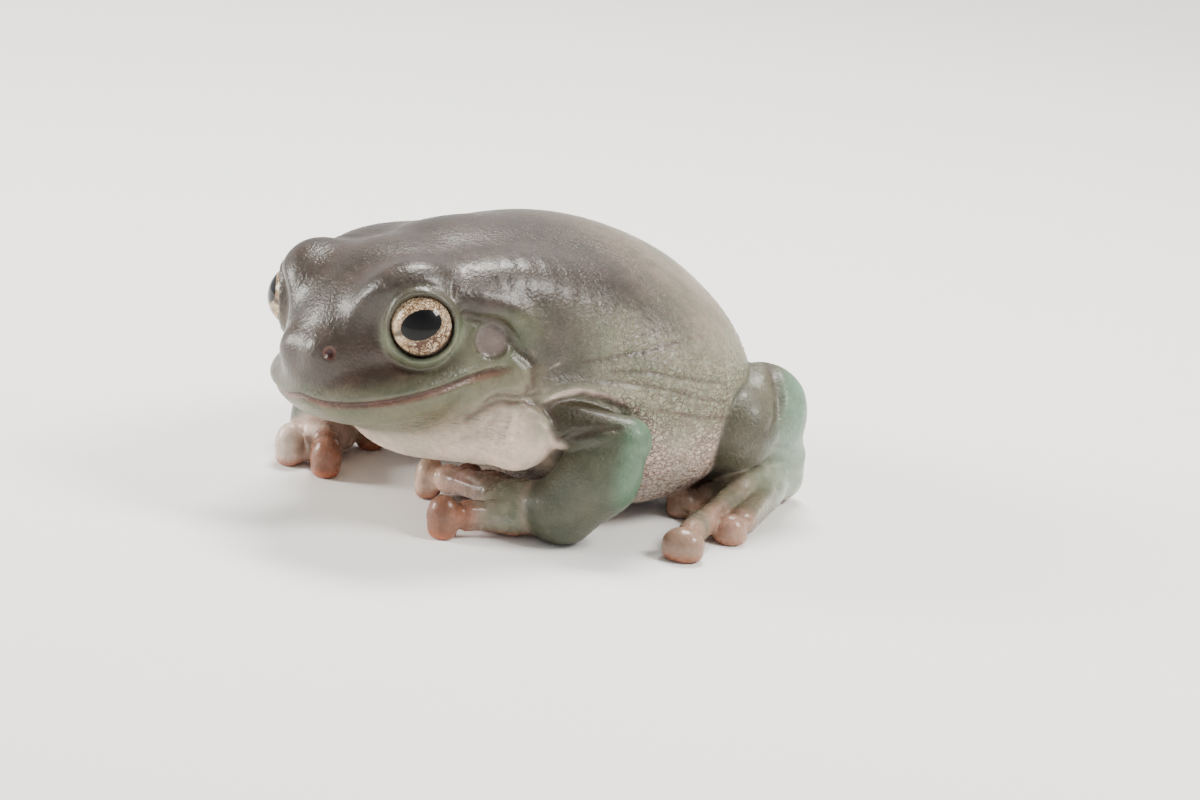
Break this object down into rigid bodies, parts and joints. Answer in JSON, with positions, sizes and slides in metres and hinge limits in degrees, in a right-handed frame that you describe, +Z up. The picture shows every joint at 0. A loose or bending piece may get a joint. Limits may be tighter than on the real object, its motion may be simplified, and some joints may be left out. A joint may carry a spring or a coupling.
{
  "type": "whites tree frog",
  "caption": "Life-size still model of a plump White's tree frog sitting with folded legs, for display on a flat surface.",
  "frame": {"origin": "middle of the frog's bounding box at the level it rests on", "axes": "+Z up, the frog faces -Y, its left side is +X"},
  "size_m": [0.0786, 0.0754, 0.0403],
  "materials": {
    "skin_back": "moist skin, mauve grey to grey green",
    "skin_limb": "moist skin, grey green with a turquoise edge",
    "skin_foot": "moist skin, pinkish brown",
    "eye": "wet, beige gold iris with a black pupil"
  },
  "bodies": {
    "root": {"head": "skin_back", "torso": "skin_back", "eye_left": "eye", "eye_right": "eye", "upper_arm_left": "skin_limb", "upper_arm_right": "skin_limb", "forearm_left": "skin_limb", "forearm_right": "skin_limb", "hand_left": "skin_foot", "hand_right": "skin_foot", "thigh_left": "skin_limb", "thigh_right": "skin_limb", "shank_left": "skin_limb", "shank_right": "skin_limb", "foot_left": "skin_foot", "foot_right": "skin_foot"}
  },
  "joints": []
}
